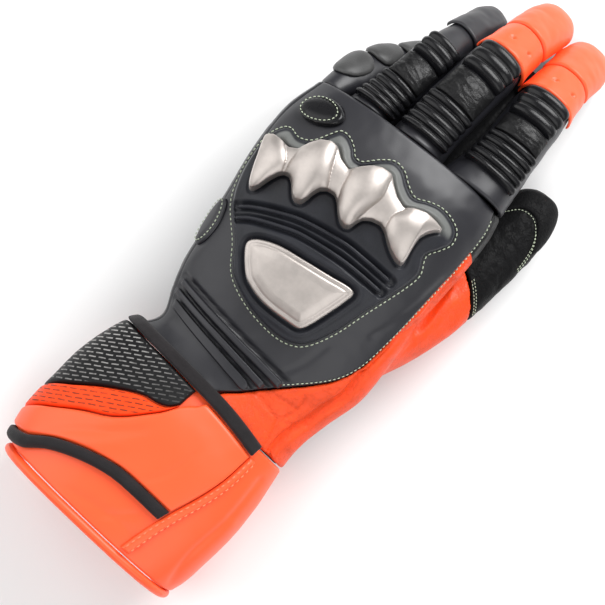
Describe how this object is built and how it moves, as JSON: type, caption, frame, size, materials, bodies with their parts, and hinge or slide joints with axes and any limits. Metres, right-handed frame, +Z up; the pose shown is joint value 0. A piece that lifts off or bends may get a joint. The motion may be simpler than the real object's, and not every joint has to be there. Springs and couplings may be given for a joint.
{
  "type": "motorcycle gauntlet",
  "caption": "Left-hand motorcycle gauntlet in orange and black leather, lying palm down, with a flared cuff, closure flap, metal knuckle guard and ribbed fingers.",
  "frame": {"origin": "middle of the underside of the whole glove's bounding box, on the surface that it lies on", "axes": "+Y from the cuff's mouth towards the fingertips, +X towards the thumb, +Z up through the back of the hand"},
  "size_m": [0.1396, 0.3346, 0.0921],
  "materials": {
    "black_leather": "satin",
    "orange_leather": "satin",
    "black_binding": "matt",
    "black_moulding": "satin",
    "titanium": "satin"
  },
  "bodies": {
    "root": {"flap_black_panel": "black_leather", "back_panel": "black_leather", "palm_panel": "black_leather", "outer_side_panel": "black_leather", "thumb": "black_leather", "index_finger": "black_leather", "middle_finger": "black_leather", "ring_finger": "black_leather", "little_finger": "black_leather", "ring_tip_cap": "black_leather", "thumb_cap": "black_leather", "cuff_shell": "orange_leather", "cuff_hem": "orange_leather", "flap_panel": "orange_leather", "flap_dashed_strip": "orange_leather", "cuff_seam_strip": "orange_leather", "thumb_side_panel": "orange_leather", "index_tip_band": "orange_leather", "index_tip_cap": "orange_leather", "middle_tip_band": "orange_leather", "middle_tip_cap": "orange_leather", "flap_edge_binding": "black_binding", "flap_strap": "black_binding", "wrist_rib_1": "black_moulding", "wrist_rib_2": "black_moulding", "wrist_rib_3": "black_moulding", "protector_base": "black_moulding", "protector_rib_fore": "black_moulding", "protector_rib_aft": "black_moulding", "ring_lower_ribs": "black_moulding", "ring_pad": "black_moulding", "ring_upper_ribs": "black_moulding", "middle_lower_ribs": "black_moulding", "middle_pad": "black_moulding", "middle_upper_ribs": "black_moulding", "index_lower_ribs": "black_moulding", "index_pad": "black_moulding", "index_upper_ribs": "black_moulding", "little_slider_1": "black_moulding", "little_slider_2": "black_moulding", "little_slider_3": "black_moulding", "outer_knuckle_slider": "black_moulding", "outer_side_patch": "black_moulding", "knuckle_guard": "titanium", "metacarpal_plate": "titanium"}
  },
  "joints": []
}
